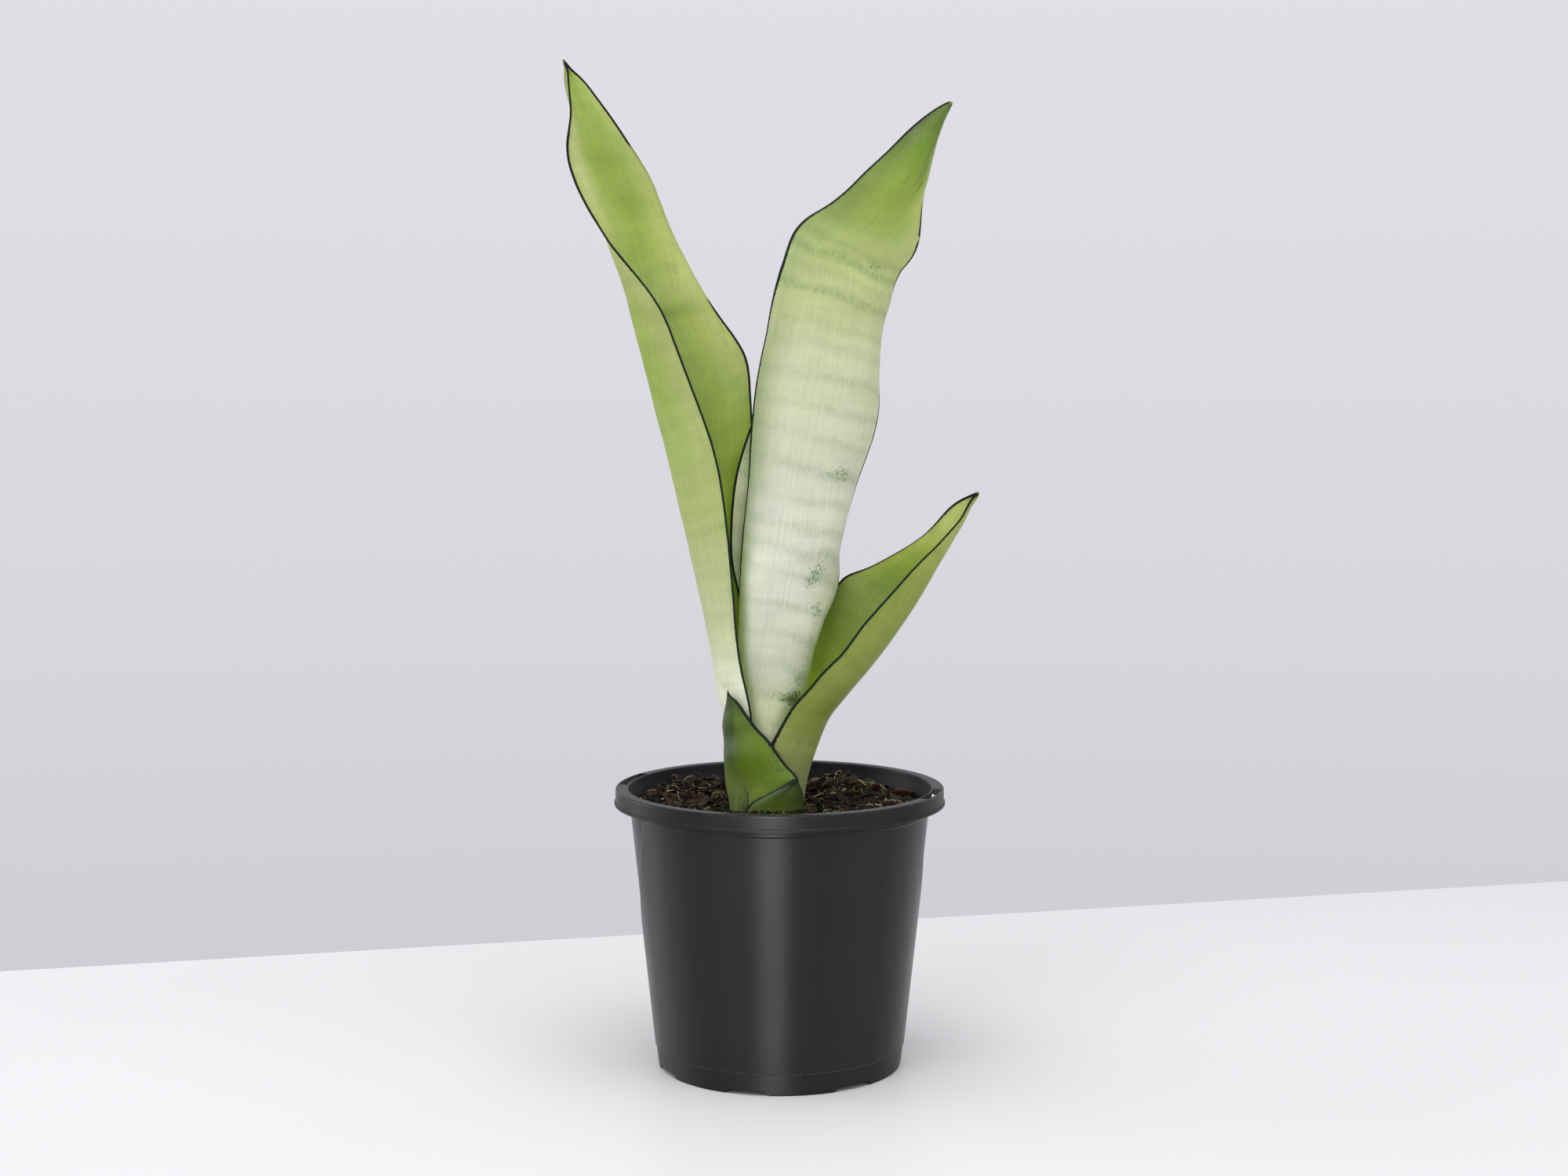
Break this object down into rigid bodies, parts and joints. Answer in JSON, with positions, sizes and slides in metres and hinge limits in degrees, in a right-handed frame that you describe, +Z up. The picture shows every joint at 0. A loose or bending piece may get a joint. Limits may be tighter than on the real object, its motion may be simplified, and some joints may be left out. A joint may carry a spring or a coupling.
{
  "type": "potted snake plant",
  "caption": "Snake plant with broad upright silvery green leaves, rooted in potting mix in a round black nursery pot with a rolled rim.",
  "frame": {"origin": "centre of the pot's underside, in the plane that the pot stands on", "axes": "+Z up along the pot's axis; the front, where the tall silvery leaf turns its back to the viewer, faces -Y; +X is the viewer's right"},
  "size_m": [0.2446, 0.201, 0.6013],
  "materials": {
    "pot_plastic": "satin moulded polypropylene, near black",
    "potting_mix": "loose damp mix of composted bark, coir and fibre, matte",
    "leaf_green": "waxy satin leaf, yellow green with faint cross bands and a thin dark margin",
    "leaf_silver": "waxy satin leaf, pale silvery green with faint cross bands and a thin dark margin",
    "leaf_dark": "waxy satin leaf, deep green with dark streaks and a thick dark margin",
    "bark": "weathered bark, matte"
  },
  "bodies": {
    "root": {"nursery_pot": "pot_plastic", "potting_mix": "potting_mix", "leaf_tall_left": "leaf_green", "leaf_tall_center": "leaf_silver", "leaf_young_inner": "leaf_silver", "leaf_small_right": "leaf_green", "leaf_sheath_left": "leaf_dark", "leaf_scale_front": "leaf_dark", "bark_chip_1": "bark", "bark_chip_2": "bark", "bark_chip_3": "bark", "bark_chip_4": "bark", "bark_chip_5": "bark", "bark_chip_6": "bark"}
  },
  "joints": []
}
